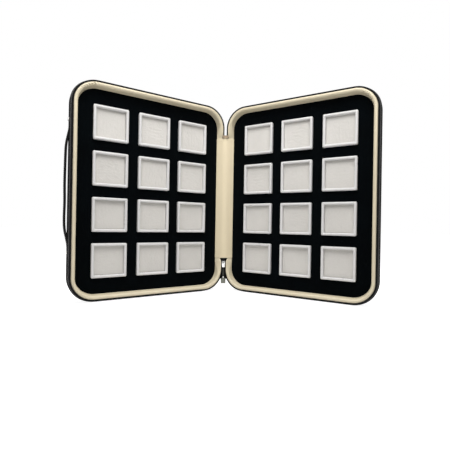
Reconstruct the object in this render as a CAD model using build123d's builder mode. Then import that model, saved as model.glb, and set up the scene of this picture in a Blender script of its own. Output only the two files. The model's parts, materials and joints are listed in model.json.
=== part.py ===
"""Zip-round display case for square coin trays, standing open like a book.

Two flat padded half cases are joined by a soft spine.  Each half is a board shell with a
cream padded rim, a velvet board and a grid of open square trays.  The right half is
modelled and mirrored to make the left one.  Millimetres, +Z up, +X to the right, +Y to
the back, with the origin under the middle of the case's box.
"""
import os
from math import asin, atan2, cos, hypot, radians, sin, tan

from build123d import *

os.makedirs("parts", exist_ok=True)

# ---------------------------------------------------------------- stance and fold
lean_angle = 30.0           # each half turns this far forward of straight across
fold_clearance = 0.3        # from the closing plane to the highest piece of a half
hinge_gap = 0.9             # from the fold line to each spine wall

# ---------------------------------------------------------------- trays
tray_side = 50.0
tray_height = 8.5
tray_lip = 4.0
tray_floor = 1.8
tray_corner = 1.8
lip_round = 0.6
tray_setback = 8.5          # from the closing plane down to the trays' lips
tray_stand = 5.0            # how far a tray stands out of the velvet
column_count = 3
row_count = 4
column_pitch = 65.5
row_pitch = 66.5
tray_shift = 1.1            # from the panel's middle to the middle column, away from the fold
pocket_clearance = 0.3
pad_thickness = 2.2
pad_clearance = 0.3
pad_round = 0.5

# ---------------------------------------------------------------- shell
collar_width = 241.1        # across the mouth, over its walls
collar_height = 312.0
collar_corner = 34.0
wall = 2.1
edge_setback = 1.2          # from the closing plane down to the collar's edge
edge_round = 0.8
ledge_depth = 9.5           # from the closing plane down to the ledge under the zip
ledge_width = 2.2
spine_ledge = 0.3           # the ledge along the spine, where no zip runs
shell_depth = 26.0
back_thickness = 2.2
back_round = 5.0

# ---------------------------------------------------------------- rim, boards and spine
rim_width = 5.5
rim_round_outside = 1.8
rim_round_inside = 2.6
velvet_share = 0.58         # of the room under the velvet; the backing board has the rest
lining_thickness = 0.6
lining_bare = 35.8          # of the straight spine walls, left bare by the lining
lining_rise = 1.7           # the lining's middle above the half's middle
end_tab_length = 6.2
cover_thickness = 0.4
cover_depth = 14.0

# ---------------------------------------------------------------- zip
tape_thickness = 0.6
tape_top = 3.6              # depths below the closing plane
tape_bend = 6.6
tape_reach = 0.6
coil_diameter = 1.5
coil_depth = 8.0
spine_corner_left_bare = 36.0   # degrees of the spine corner that the tape leaves bare

end_tape_width = 6.6
end_tape_thickness = 0.9
end_tape_slit = 2.2
notch_length = 24.8
notch_depth = 5.2           # the spine walls are lowered this far for the slider
groove_depth = 0.6          # and set back this far for the hanging pull
groove_below_notch = 4.0

slider_width = 5.4
slider_length = 10.8
slider_plate = 1.0
slider_round = 1.4
slider_clearance = 0.2
slider_drop = 4.8           # from the lining's end to the slider's top
post_width = 1.6
post_length = 2.6
bail_width = 1.8
bail_length = 7.0
bail_reach = 2.9
bail_bar = 1.0

pin_diameter = 1.4
pull_clearance = 0.3
pull_thickness = 1.4
pull_arm_width = 0.8
pull_arm_length = 5.9
pull_neck_width = 2.9
pull_length = 31.4          # from the pin to the pull's lower end
pull_head_width = 8.3
pull_head_length = 9.5
pull_head_corner = 1.5

# ---------------------------------------------------------------- handle on the left half
strap_thickness = 2.7
strap_width = 9.4
strap_stand = 2.2           # from the wall to the strap's inside, in the middle
strap_seat_clearance = 0.3
strap_bend_radius = 60.0
strap_top = 103.5           # heights above the half's middle
strap_leaves_top = 84.0
strap_stands_top = 57.0
strap_stands_bottom = -48.0
strap_leaves_bottom = -74.0
strap_bottom = -93.5
rivet_inset = 5.5           # from a strap end to its rivet
rivet_head = 5.6
rivet_dome = 1.8
rivet_shank = 2.0
rivet_grip = 1.0            # how far the shank goes into the wall

# ---------------------------------------------------------------- worked out
lean = radians(lean_angle)
collar_start = hinge_gap + spine_ledge
body_width = spine_ledge + collar_width + ledge_width
body_height = collar_height + 2 * ledge_width
outer_wall = hinge_gap + body_width
panel_centre = collar_start + collar_width / 2
tray_centre = panel_centre + tray_shift
body_centre = hinge_gap + body_width / 2
corner_height = collar_height / 2 - collar_corner
lining_length = 2 * corner_height - lining_bare
crest_setback = fold_clearance + lining_thickness
rim_outside = collar_start + wall
rim_inside = rim_outside + rim_width
floor_depth = shell_depth - back_thickness
velvet_depth = tray_setback + tray_stand
velvet_thickness = velvet_share * (floor_depth - velvet_depth)
velvet_corner = collar_corner - wall - rim_width
velvet_width = collar_width - 2 * (wall + rim_width)
velvet_height = collar_height - 2 * (wall + rim_width)
tray_base_depth = tray_setback + tray_height
pad_top_depth = tray_base_depth - tray_floor - pad_thickness
window = tray_side - 2 * tray_lip
strap_depth = (ledge_depth + shell_depth - back_round) / 2
strap_out = outer_wall + strap_stand

# the lining slopes from the fold line down to the velvet's edge
slope_run = rim_inside - fold_clearance
slope_fall = velvet_depth - fold_clearance
slope = atan2(slope_fall, slope_run) - asin(lining_thickness / hypot(slope_run, slope_fall))
lining_root = fold_clearance + lining_thickness / cos(slope)
cover_top = lining_root + (hinge_gap - fold_clearance) * tan(slope) + fold_clearance

front_reach = ((collar_start + collar_width - edge_round) * sin(lean)
               - (edge_setback + edge_round) * cos(lean) + edge_round)
back_reach = (shell_depth - back_round) * cos(lean) - (hinge_gap + back_round) * sin(lean) + back_round
right_reach = (outer_wall - back_round) * cos(lean) + (shell_depth - back_round) * sin(lean) + back_round
left_reach = ((strap_out + strap_thickness) * cos(lean)
              + (strap_depth + strap_width / 2) * sin(lean))
fold_x = (left_reach - right_reach) / 2
fold_y = (front_reach - back_reach) / 2
middle_height = body_height / 2

# On the closing plane of the right half, x is the distance from the fold line, y is the
# height above the half's middle, and the normal points out of the case's mouth.
closing_plane = Plane(
    origin=(fold_x, fold_y, middle_height),
    x_dir=(cos(lean), -sin(lean), 0),
    z_dir=(-sin(lean), -cos(lean), 0),
)
mouthward = Axis((0, 0, 0), (-sin(lean), -cos(lean), 0))
mirror_plane = Plane.YZ.offset(fold_x)


def down(depth):
    """The plane this far below the right half's closing plane."""
    return closing_plane.offset(-depth)


def keep(part, name):
    part.label = name
    export_step(part, f"parts/{name}.step")


def keep_pair(part, name):
    """Write the right half's piece, and its mirror image for the left half."""
    keep(part, f"right_{name}")
    keep(mirror(part, about=mirror_plane), f"left_{name}")


# ---------------------------------------------------------------- zip end, on the fold line
lining_top = lining_rise + lining_length / 2
lining_bottom = lining_rise - lining_length / 2
notch_top = lining_bottom - fold_clearance
notch_bottom = notch_top - notch_length
end_tape_length = notch_length - fold_clearance
slider_top = lining_bottom - slider_drop
slider_bottom = slider_top - slider_length
slider_inside = (end_tape_thickness + 2 * slider_clearance) / 2
slider_back = slider_inside + slider_plate
slider_shift = end_tape_thickness / 2     # the slider's middle behind the fold line
bail_bottom = slider_bottom + (slider_length - bail_length) / 4
pin_height = bail_bottom + bail_bar + pin_diameter / 2 + slider_clearance / 2
pin_back = slider_shift + slider_back + (bail_reach - bail_bar) / 2
neck_top = pin_height - pull_arm_length
slider_travel = neck_top - pin_diameter / 2 - notch_bottom - fold_clearance

# upright plane across the case, through the fold line: x to the right, y up, normal forward
fold_front = Plane(origin=(fold_x, fold_y, middle_height), x_dir=(1, 0, 0), z_dir=(0, -1, 0))


# across the spine: x is the distance from the fold line and y points out of the mouth
spine_section = Plane(
    origin=closing_plane.from_local_coords((0, lining_top, 0)),
    x_dir=closing_plane.x_dir,
    z_dir=(0, 0, -1),
)


# ---------------------------------------------------------------- slope under the spine lining
# what the shell's spine wall and the rim give up, from the lining's upper end to the notch
slope_end = rim_inside + rim_width
slope_end_depth = velvet_depth + rim_width * tan(slope)
with BuildPart() as spine_slope:
    with BuildSketch(spine_section):
        with BuildLine():
            Polyline(
                (fold_clearance, 0),
                (fold_clearance, -lining_root),
                (slope_end, -slope_end_depth),
                (slope_end, 0),
                close=True,
            )
        make_face()
    extrude(amount=lining_top - notch_top)

# ---------------------------------------------------------------- shells
with BuildPart() as shell:
    with BuildSketch(down(edge_setback)):
        with Locations((panel_centre, 0)):
            RectangleRounded(collar_width, collar_height, collar_corner)
    extrude(amount=-(ledge_depth - edge_setback))
    fillet(shell.faces().sort_by(mouthward)[-1].edges(), edge_round)
    with BuildSketch(down(ledge_depth)):
        with Locations((body_centre, 0)):
            RectangleRounded(body_width, body_height, collar_corner + ledge_width)
    extrude(amount=-(shell_depth - ledge_depth))
    fillet(shell.faces().sort_by(mouthward)[0].edges(), back_round)
    with BuildSketch(down(0)):
        with Locations((panel_centre, 0)):
            RectangleRounded(collar_width - 2 * wall, collar_height - 2 * wall, collar_corner - wall)
    extrude(amount=-floor_depth, mode=Mode.SUBTRACT)
    # room for the zip slider in the spine wall, and a groove for its pull below it
    with BuildSketch(down(0)):
        with Locations((0, (notch_top + notch_bottom) / 2)):
            Rectangle(2 * (rim_outside + edge_round), notch_length)
    extrude(amount=-notch_depth, mode=Mode.SUBTRACT)
    with BuildSketch(down(0)):
        with Locations((0, (notch_top + notch_bottom - groove_below_notch) / 2)):
            Rectangle(2 * (collar_start + groove_depth), notch_length + groove_below_notch)
    extrude(amount=-ledge_depth, mode=Mode.SUBTRACT)
    add(spine_slope.part, mode=Mode.SUBTRACT)
keep(shell.part, "right_shell")

# on the right half's outer wall before mirroring: x is the height, the normal points away
rivet_plane = Plane(
    origin=closing_plane.from_local_coords((outer_wall, 0, -strap_depth)),
    x_dir=(0, 0, 1),
    z_dir=closing_plane.x_dir,
)
rivet_heights = (strap_top - rivet_inset, strap_bottom + rivet_inset)
# a seat ends where the strap's inside has come level with the wall
seat_share = strap_thickness / (strap_stand + strap_thickness)
seat_spans = ((strap_top, strap_leaves_top + seat_share * (strap_stands_top - strap_leaves_top)),
              (strap_bottom, strap_leaves_bottom + seat_share * (strap_stands_bottom - strap_leaves_bottom)))

# the left shell also has two seats for the handle strap's ends, each with a rivet hole
with BuildPart() as handle_seats:
    with BuildSketch(down(strap_depth - strap_width / 2 - strap_seat_clearance)):
        for far_end, near_end in seat_spans:
            with Locations((outer_wall, (far_end + near_end) / 2)):
                Rectangle(2 * strap_thickness, abs(far_end - near_end) + 2 * strap_seat_clearance)
    extrude(amount=-(strap_width + 2 * strap_seat_clearance))
    with BuildSketch(rivet_plane):
        with Locations(*[(height, 0) for height in rivet_heights]):
            Circle(rivet_shank / 2)
    extrude(amount=-(strap_thickness + rivet_grip))

with BuildPart() as handle_shell:
    add(shell.part)
    add(handle_seats.part, mode=Mode.SUBTRACT)
keep(mirror(handle_shell.part, about=mirror_plane), "left_shell")

# ---------------------------------------------------------------- padded rims
with BuildPart() as rim:
    with BuildSketch(down(crest_setback)):
        with Locations((panel_centre, 0)):
            RectangleRounded(collar_width - 2 * wall, collar_height - 2 * wall, collar_corner - wall)
            RectangleRounded(velvet_width, velvet_height, velvet_corner, mode=Mode.SUBTRACT)
    extrude(amount=-(floor_depth - crest_setback))
    crest = rim.faces().sort_by(mouthward)[-1]
    fillet(crest.outer_wire().edges(), rim_round_outside)
    crest = rim.faces().sort_by(mouthward)[-1]
    fillet(crest.inner_wires()[0].edges(), rim_round_inside)
    add(spine_slope.part, mode=Mode.SUBTRACT)
keep_pair(rim.part, "rim")

# ---------------------------------------------------------------- velvet boards and backing
tray_places = GridLocations(column_pitch, row_pitch, column_count, row_count).locations

with BuildPart() as velvet:
    with BuildSketch(down(velvet_depth)):
        with Locations((panel_centre, 0)):
            RectangleRounded(velvet_width, velvet_height, velvet_corner)
    extrude(amount=-velvet_thickness)
    with BuildSketch(down(velvet_depth)):
        with Locations((tray_centre, 0)):
            with GridLocations(column_pitch, row_pitch, column_count, row_count):
                RectangleRounded(tray_side + 2 * pocket_clearance, tray_side + 2 * pocket_clearance,
                                 tray_corner + pocket_clearance)
    extrude(amount=-(tray_height - tray_stand), mode=Mode.SUBTRACT)
keep_pair(velvet.part, "velvet_board")

with BuildPart() as backing:
    with BuildSketch(down(velvet_depth + velvet_thickness)):
        with Locations((panel_centre, 0)):
            RectangleRounded(velvet_width, velvet_height, velvet_corner)
    extrude(amount=-(floor_depth - velvet_depth - velvet_thickness))
keep_pair(backing.part, "backing_board")

# ---------------------------------------------------------------- trays and their pads
for place in tray_places:
    column_x, row_y = place.position.X, place.position.Y
    column = round(column_x / column_pitch + (column_count - 1) / 2) + 1
    row = round((row_count - 1) / 2 - row_y / row_pitch) + 1
    with BuildPart() as tray:
        with BuildSketch(down(tray_base_depth)):
            with Locations((tray_centre + column_x, row_y)):
                RectangleRounded(tray_side, tray_side, tray_corner)
        extrude(amount=tray_height)
        with BuildSketch(down(tray_setback)):
            with Locations((tray_centre + column_x, row_y)):
                Rectangle(window, window)
        extrude(amount=-(tray_height - tray_floor), mode=Mode.SUBTRACT)
        lip = tray.faces().sort_by(mouthward)[-1]
        fillet(lip.edges(), lip_round)
    keep_pair(tray.part, f"tray_column{column}_row{row}")

with BuildPart() as pads:
    with BuildSketch(down(pad_top_depth + pad_thickness)):
        with Locations((tray_centre, 0)):
            with GridLocations(column_pitch, row_pitch, column_count, row_count):
                Rectangle(window - 2 * pad_clearance, window - 2 * pad_clearance)
    extrude(amount=pad_thickness)
    fillet(pads.faces().filter_by(closing_plane).group_by(mouthward)[-1].edges(), pad_round)
keep_pair(pads.part, "tray_pads")

# ---------------------------------------------------------------- spine lining and cover
with BuildPart() as lining:
    with BuildSketch(spine_section):
        with BuildLine():
            Polyline(
                (fold_clearance, -fold_clearance),
                (fold_clearance, -lining_root),
                (rim_inside, -velvet_depth),
                (rim_inside + lining_thickness / sin(slope), -velvet_depth),
                close=True,
            )
        make_face()
    extrude(amount=lining_length)
keep_pair(lining.part, "spine_lining")

with BuildPart() as end_tab:
    with BuildSketch(down(crest_setback)):
        with Locations(((fold_clearance + rim_outside) / 2, lining_top + end_tab_length / 2)):
            Rectangle(rim_outside - fold_clearance, end_tab_length)
    extrude(amount=-(edge_setback - crest_setback))
keep_pair(end_tab.part, "end_tab")

with BuildPart() as cover:
    with BuildSketch(down(cover_top)):
        with Locations((hinge_gap - cover_thickness / 2, lining_rise)):
            Rectangle(cover_thickness, lining_length)
    extrude(amount=-(cover_depth - cover_top))
keep_pair(cover.part, "spine_cover")

# ---------------------------------------------------------------- zip tape and coil
# the run goes once round the collar's outside, from one spine corner to the other
zip_turn = 90 - spine_corner_left_bare
start_angle = radians(180 + spine_corner_left_bare)
zip_start = (collar_start + collar_corner + collar_corner * cos(start_angle),
             -corner_height + collar_corner * sin(start_angle))
with BuildLine(closing_plane) as zip_run:
    first_bend = JernArc(zip_start, (-sin(start_angle), cos(start_angle)), collar_corner, zip_turn)
    bottom_run = Line(first_bend @ 1, (collar_start + collar_width - collar_corner, -collar_height / 2))
    low_bend = JernArc(bottom_run @ 1, (1, 0), collar_corner, 90)
    side_run = Line(low_bend @ 1, (collar_start + collar_width, corner_height))
    high_bend = JernArc(side_run @ 1, (0, 1), collar_corner, 90)
    top_run = Line(high_bend @ 1, (collar_start + collar_corner, collar_height / 2))
    last_bend = JernArc(top_run @ 1, (-1, 0), collar_corner, zip_turn)
zip_path = zip_run.wire()
# across the run: x points away from the collar and y points down into the case
zip_section = Plane(
    origin=zip_path @ 0,
    x_dir=(zip_path % 0).cross(Vector(closing_plane.z_dir)),
    z_dir=zip_path % 0,
)

with BuildPart() as tape:
    with BuildSketch(zip_section):
        with BuildLine():
            Polyline(
                (0, tape_top),
                (tape_thickness, tape_top),
                (tape_thickness, tape_bend),
                (tape_reach, coil_depth - tape_thickness / 2),
                (tape_reach, coil_depth + tape_thickness / 2),
                (0, coil_depth + tape_thickness / 2),
                close=True,
            )
        make_face()
    sweep(path=zip_path)
keep_pair(tape.part, "zip_tape")

with BuildPart() as coil:
    with BuildSketch(zip_section):
        with Locations((tape_reach + coil_diameter / 2, coil_depth)):
            RectangleRounded(coil_diameter, coil_diameter, coil_diameter / 3)
    sweep(path=zip_path)
keep_pair(coil.part, "zip_coil")

# ---------------------------------------------------------------- joined end of the zip
with BuildPart() as end_tape:
    with BuildSketch(fold_front):
        with Locations((0, notch_top - end_tape_length / 2)):
            Rectangle(end_tape_width, end_tape_length)
        with Locations((0, (slider_bottom + 2 * post_length + notch_bottom) / 2)):
            Rectangle(end_tape_slit, slider_bottom + 2 * post_length - notch_bottom, mode=Mode.SUBTRACT)
    extrude(amount=-end_tape_thickness)
keep(end_tape.part, "zip_end_tape")

# the slider: two plates, the post between them and the bail on its back
with BuildPart() as slider:
    for side in (-1, 1):
        with BuildSketch(fold_front.offset(-slider_shift - side * slider_inside)):
            with Locations((0, (slider_top + slider_bottom) / 2)):
                RectangleRounded(slider_width, slider_length, slider_round)
        extrude(amount=-side * slider_plate)
    with BuildSketch(fold_front.offset(-slider_shift - slider_inside)):
        with Locations((0, slider_bottom + post_length)):
            Rectangle(post_width, post_length)
    extrude(amount=2 * slider_inside)
    with BuildSketch(Plane(origin=(fold_x - bail_width / 2, fold_y + slider_shift + slider_back,
                                   middle_height + bail_bottom), x_dir=(0, 1, 0), z_dir=(1, 0, 0))):
        with Locations((bail_reach / 2, bail_length / 2)):
            Rectangle(bail_reach, bail_length)
            Rectangle(bail_reach - 2 * bail_bar, bail_length - 2 * bail_bar, mode=Mode.SUBTRACT)
        with Locations(((bail_reach - bail_bar) / 2, bail_length / 2)):
            Rectangle(bail_reach - bail_bar, bail_length - 2 * bail_bar, mode=Mode.SUBTRACT)
    extrude(amount=bail_width)
keep(slider.part, "zip_slider")

# the pull: a cross pin through the bail, two arms, a neck and a flat head
pull_front = fold_front.offset(-pin_back + pull_thickness / 2)
arm_inside = bail_width / 2 + pull_clearance
pull_bottom = pin_height - pull_length
with BuildPart() as pull:
    with BuildSketch(pull_front):
        for side in (-1, 1):
            with Locations((side * (arm_inside + pull_arm_width / 2), (pin_height + neck_top) / 2)):
                Rectangle(pull_arm_width, pull_arm_length + pin_diameter)
        with Locations((0, neck_top)):
            Rectangle(2 * (arm_inside + pull_arm_width), pin_diameter)
        with Locations((0, (neck_top + pull_bottom + pull_head_length / 2) / 2)):
            Rectangle(pull_neck_width, neck_top - pull_bottom - pull_head_length / 2)
        with Locations((0, pull_bottom + pull_head_length / 2)):
            RectangleRounded(pull_head_width, pull_head_length, pull_head_corner)
    extrude(amount=-pull_thickness)
    with BuildSketch(Plane(origin=(fold_x - arm_inside, fold_y + pin_back, middle_height + pin_height),
                           x_dir=(0, 1, 0), z_dir=(1, 0, 0))):
        Circle(pin_diameter / 2)
    extrude(amount=2 * arm_inside)
keep(pull.part, "zip_pull")

# ---------------------------------------------------------------- handle strap and its rivets
strap_seat_x = outer_wall - strap_thickness / 2
strap_stand_x = strap_out + strap_thickness / 2
with BuildPart() as strap:
    with BuildSketch(down(strap_depth - strap_width / 2)):
        with BuildLine() as strap_line:
            FilletPolyline(
                (strap_seat_x, strap_top),
                (strap_seat_x, strap_leaves_top),
                (strap_stand_x, strap_stands_top),
                (strap_stand_x, strap_stands_bottom),
                (strap_seat_x, strap_leaves_bottom),
                (strap_seat_x, strap_bottom),
                radius=strap_bend_radius,
            )
        trace(line_width=strap_thickness)
    extrude(amount=-strap_width)
    with BuildSketch(rivet_plane):
        with Locations(*[(height, 0) for height in rivet_heights]):
            Circle(rivet_shank / 2)
    extrude(amount=-strap_thickness, mode=Mode.SUBTRACT)
keep(mirror(strap.part, about=mirror_plane), "handle_strap")

with BuildPart() as rivets:
    with BuildSketch(rivet_plane):
        with Locations(*[(height, 0) for height in rivet_heights]):
            Circle(rivet_head / 2)
    extrude(amount=rivet_dome)
    fillet(rivets.faces().filter_by(Axis(closing_plane.origin, closing_plane.x_dir))
           .group_by(Axis(closing_plane.origin, closing_plane.x_dir))[-1].edges(), rivet_dome * 0.9)
    with BuildSketch(rivet_plane):
        with Locations(*[(height, 0) for height in rivet_heights]):
            Circle(rivet_shank / 2)
    extrude(amount=-(strap_thickness + rivet_grip))
keep(mirror(rivets.part, about=mirror_plane), "handle_rivets")

print(f"fold line x {fold_x:.3f} y {fold_y:.3f}, middle height {middle_height:.3f}")
print(f"pin back {pin_back:.3f}, pin height {middle_height + pin_height:.3f}, travel {slider_travel:.3f}")
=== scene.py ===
"""Dresses the coin display case: padded rims, velvet boards, coin trays, spine, zip and handle.

Each half is modelled flat and then laid on its own side: x runs from the fold line to the
outer wall, y runs up the spine, and z points out of the open mouth.
"""

import json
import math
from contextlib import contextmanager
from itertools import product

import bmesh
import bpy
from bpy.props import FloatProperty, FloatVectorProperty, IntProperty, PointerProperty
from mathutils import Matrix, Vector, noise


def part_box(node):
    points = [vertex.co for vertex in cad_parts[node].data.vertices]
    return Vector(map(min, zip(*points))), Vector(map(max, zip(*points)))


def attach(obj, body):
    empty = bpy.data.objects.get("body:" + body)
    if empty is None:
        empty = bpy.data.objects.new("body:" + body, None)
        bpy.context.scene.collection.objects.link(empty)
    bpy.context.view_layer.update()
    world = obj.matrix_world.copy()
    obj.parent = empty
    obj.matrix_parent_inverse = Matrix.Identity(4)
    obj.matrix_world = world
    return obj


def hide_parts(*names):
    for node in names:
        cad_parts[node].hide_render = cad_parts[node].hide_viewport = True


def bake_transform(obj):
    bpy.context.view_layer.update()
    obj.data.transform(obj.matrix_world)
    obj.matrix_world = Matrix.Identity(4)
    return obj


bl_info = {
    "name": "Coin Display Case",
    "version": (1, 0, 0),
    "blender": (4, 5, 0),
    "location": "3D View > Sidebar > Coin Case",
    "description": "Builds the looks of a zip-round coin display case around its packed frame",
    "category": "Add Mesh",
}

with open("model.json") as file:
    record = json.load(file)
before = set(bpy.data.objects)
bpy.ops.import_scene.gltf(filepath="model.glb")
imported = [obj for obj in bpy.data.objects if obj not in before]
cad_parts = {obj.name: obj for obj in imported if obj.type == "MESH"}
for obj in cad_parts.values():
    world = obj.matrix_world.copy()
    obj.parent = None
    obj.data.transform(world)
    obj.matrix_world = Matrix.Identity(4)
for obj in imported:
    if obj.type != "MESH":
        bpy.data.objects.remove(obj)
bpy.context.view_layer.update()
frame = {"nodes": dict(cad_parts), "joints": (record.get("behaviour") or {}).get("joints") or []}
FOLD = Vector(next(joint["pos_m"] for joint in frame["joints"] if joint["name"] == "case_fold"))
HALVES = {"right": 1, "left": -1}
MM = 0.001
NEAR = 0.1 * MM  # close enough to count as the same place
QUARTER = math.pi / 2


# ---------------------------------------------------------------- sizes and colours
def length(name, description, millimetres):
    return FloatProperty(name=name, description=description, default=millimetres * MM,
                         unit="LENGTH", subtype="DISTANCE", precision=5)


def colour(name, description, red, green, blue):
    return FloatVectorProperty(name=name, description=description, default=(red, green, blue),
                               subtype="COLOR", size=3, min=0, max=1)


class CaseSizes(bpy.types.PropertyGroup):
    lean: FloatProperty(name="Lean", default=math.radians(30), subtype="ANGLE",
                        description="How far each half turns forward of straight across")
    spine_wall: length("Spine wall", "Fold line to the collar's spine wall", 1.2)
    collar_width: length("Collar width", "Across the mouth, over its walls", 241.1)
    collar_height: length("Collar height", "Up the mouth, over its walls", 312)
    collar_corner: length("Collar corner", "Corner radius of the mouth", 34)
    wall: length("Wall", "Thickness of the shell's wall", 2.1)
    crest: length("Crest depth", "Closing plane down to the rims", 0.9)
    velvet: length("Velvet depth", "Closing plane down to the velvet", 13.5)
    ledge: length("Ledge depth", "Closing plane down to the ledge under the zip", 9.5)
    shell_corner: length("Shell corner", "Corner radius of the body", 36.2)
    ledge_width: length("Ledge width", "How far the body stands out of the collar", 2.2)


class RimSizes(bpy.types.PropertyGroup):
    width: length("Width", "Across the padded rim", 5.5)
    outside_round: length("Outside round", "Rounding beside the collar", 2.3)
    inside_round: length("Inside round", "Rounding towards the velvet", 3.1)
    rise: length("Rise", "How soon the padding stands up past the strip's ends", 30)
    flare: length("Flare", "How far the padding spreads over the velvet", 0.5)
    sunk: length("Sunk", "How far the rim reaches below the velvet's surface", 1.5)
    gather: length("Gathers", "Height of the gathers round the corners", 0.4)
    crease: length("Creases", "Depth of the creases at the left half's upper outer corner", 2.3)
    sway: length("Sway", "Unevenness of the padding", 0.22)


class TraySizes(bpy.types.PropertyGroup):
    side: length("Side", "Outside width of a tray", 50)
    height: length("Height", "Height of a tray", 8.5)
    lip: length("Lip", "Width of the tray's lip", 4)
    floor: length("Floor", "Thickness of the tray's floor", 1.8)
    corner: length("Corner", "Corner radius of a tray", 1.8)
    edge: length("Edge", "Rounding of the lip's edges", 1.65)
    setback: length("Setback", "Closing plane down to the lips", 8.5)
    shift: length("Shift", "The half's middle to the middle column, away from the fold", 1.1)
    column_pitch: length("Column pitch", "Between the columns of trays", 65.5)
    row_pitch: length("Row pitch", "Between the rows of trays", 66.5)
    columns: IntProperty(name="Columns", description="Trays across a half", default=3)
    rows: IntProperty(name="Rows", description="Trays up a half", default=4)
    pad: length("Pad", "Thickness of the pad in a tray", 2.2)
    pad_gap: length("Pad gap", "Between the pad and the tray's wall", 0.3)


class SpineSizes(bpy.types.PropertyGroup):
    lining_length: length("Lining length", "Length of the strip over the spine", 208.2)
    rise: length("Rise", "The strip's middle above the half's middle", 1.7)
    setback: length("Setback", "Closing plane down to the strip, and fold line to its slope", 0.3)
    ridge: length("Ridge", "Radius of the bend over the fold line", 13)
    thickness: length("Thickness", "Thickness of the strip", 0.6)
    hem: length("Hem", "Width of the strip's folded hem", 3.2)
    tab_length: length("Tab length", "Length of the tab above the strip", 4.9)
    tab_thickness: length("Tab thickness", "Thickness of the tab and of the gusset", 0.3)
    groove: length("Groove", "How far the spine walls are set back behind the slider", 0.6)
    gusset_length: length("Gusset length", "Length of the gusset below the strip", 37.2)
    cover_depth: length("Cover depth", "How deep the outer cover reaches", 14)
    cover_thickness: length("Cover thickness", "Thickness of the outer cover", 0.4)


class ZipSizes(bpy.types.PropertyGroup):
    tape_top: length("Tape top", "Closing plane down to the tape's stitched edge", 3.6)
    tape_thickness: length("Tape thickness", "Thickness of the tape", 0.28)
    teeth_depth: length("Teeth depth", "Closing plane down to the teeth", 8)
    teeth_out: length("Teeth out", "From the mouth's outline out to the middle of the teeth", 0.9)
    pitch: length("Pitch", "From one tooth to the next", 2.4)
    bare_corner: FloatProperty(name="Bare corner", default=math.radians(30), subtype="ANGLE",
                               description="Angle of the spine corner that the tape leaves bare")


class HandleSizes(bpy.types.PropertyGroup):
    width: length("Width", "Width of the strap", 9.4)
    thickness: length("Thickness", "Thickness of the strap", 2.7)
    depth: length("Depth", "Closing plane down to the strap's middle", 15.25)
    rivet: length("Rivet", "Diameter of a rivet's head", 5.6)
    dome: length("Dome", "Height of a rivet's head", 1.1)


class CaseColours(bpy.types.PropertyGroup):
    shell: colour("Shell", "Black leatherette of the shells", 0.007, 0.007, 0.0075)
    rim: colour("Rim", "Cream leatherette of the padded rims", 0.765, 0.68, 0.495)
    lining: colour("Lining", "Cream leatherette of the spine strip", 0.83, 0.72, 0.505)
    velvet: colour("Velvet", "Velvet of the boards", 0.0004, 0.001, 0.0015)
    tray: colour("Tray", "White plastic of the trays", 0.71, 0.703, 0.7)
    pad: colour("Pad", "Felted paper of the pads", 0.66, 0.64, 0.605)
    # the tab is cream lining; its brown is painted shade where it runs down between the collars
    tab: colour("End tab", "Tab above the spine strip", 0.4, 0.31, 0.21)
    thread: colour("Thread", "Sewing thread", 0.02, 0.02, 0.021)


GROUPS = {"case": CaseSizes, "rim": RimSizes, "tray": TraySizes, "spine": SpineSizes,
          "zip": ZipSizes, "handle": HandleSizes, "colour": CaseColours}


class CoinCase(bpy.types.PropertyGroup):
    case: PointerProperty(type=CaseSizes)
    rim: PointerProperty(type=RimSizes)
    tray: PointerProperty(type=TraySizes)
    spine: PointerProperty(type=SpineSizes)
    zip: PointerProperty(type=ZipSizes)
    handle: PointerProperty(type=HandleSizes)
    colour: PointerProperty(type=CaseColours)


# ---------------------------------------------------------------- modelling helpers
def settings():
    return bpy.context.scene.coin_case


def deselect():
    bpy.ops.object.select_all(action="DESELECT")


def make_active(piece):
    deselect()
    piece.select_set(True)
    bpy.context.view_layer.objects.active = piece


def begin(name, shape, at=(0, 0, 0), size=(1, 1, 1), **options):
    """Adds a primitive at its place and size, with nothing left in its object's transform."""
    deselect()
    getattr(bpy.ops.mesh, f"primitive_{shape}_add")(location=at, **options)
    piece = bpy.context.active_object
    piece.name = piece.data.name = name
    piece.scale = size
    bpy.ops.object.transform_apply(location=True, rotation=True, scale=True)
    return piece


@contextmanager
def editing(piece, chosen="DESELECT"):
    """Edit mode, which starts with nothing of the mesh selected, or everything by SELECT."""
    make_active(piece)
    bpy.ops.object.mode_set(mode="EDIT")
    bpy.ops.mesh.select_all(action=chosen)
    yield
    bpy.ops.object.mode_set(mode="OBJECT")


def pick(piece, kind, test):
    """In edit mode, selects only the faces, edges or vertices that pass the test."""
    bpy.ops.mesh.select_mode(type=kind)
    bpy.ops.mesh.select_all(action="DESELECT")
    mesh = bmesh.from_edit_mesh(piece.data)
    parts = {"FACE": mesh.faces, "EDGE": mesh.edges, "VERT": mesh.verts}[kind]
    chosen = [part for part in parts if test(part)]
    if not chosen:
        raise RuntimeError(f"{piece.name}: nothing was picked")
    for part in chosen:
        part.select_set(True)
    mesh.select_flush_mode()
    bmesh.update_edit_mesh(piece.data)


def middle(edge):
    return (edge.verts[0].co + edge.verts[1].co) / 2


def runs_along(edge, axis):
    """Whether an edge runs along x, y or z (0, 1 or 2), either way."""
    return abs((edge.verts[1].co - edge.verts[0].co).normalized()[axis]) > 0.9


def extrude(down):
    bpy.ops.mesh.extrude_region_move(TRANSFORM_OT_translate={"value": (0, 0, -down)})


def bevel(offset, segments):
    bpy.ops.mesh.bevel(offset=offset, segments=segments, affect="EDGES")


def face_outwards(piece):
    with editing(piece, "SELECT"):
        bpy.ops.mesh.normals_make_consistent(inside=False)


def modify(piece, kind, **values):
    """Adds a modifier and applies it."""
    make_active(piece)
    modifier = piece.modifiers.new(kind.title(), kind)
    for key, value in values.items():
        setattr(modifier, key, value)
    bpy.ops.object.modifier_apply(modifier=modifier.name)


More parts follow.
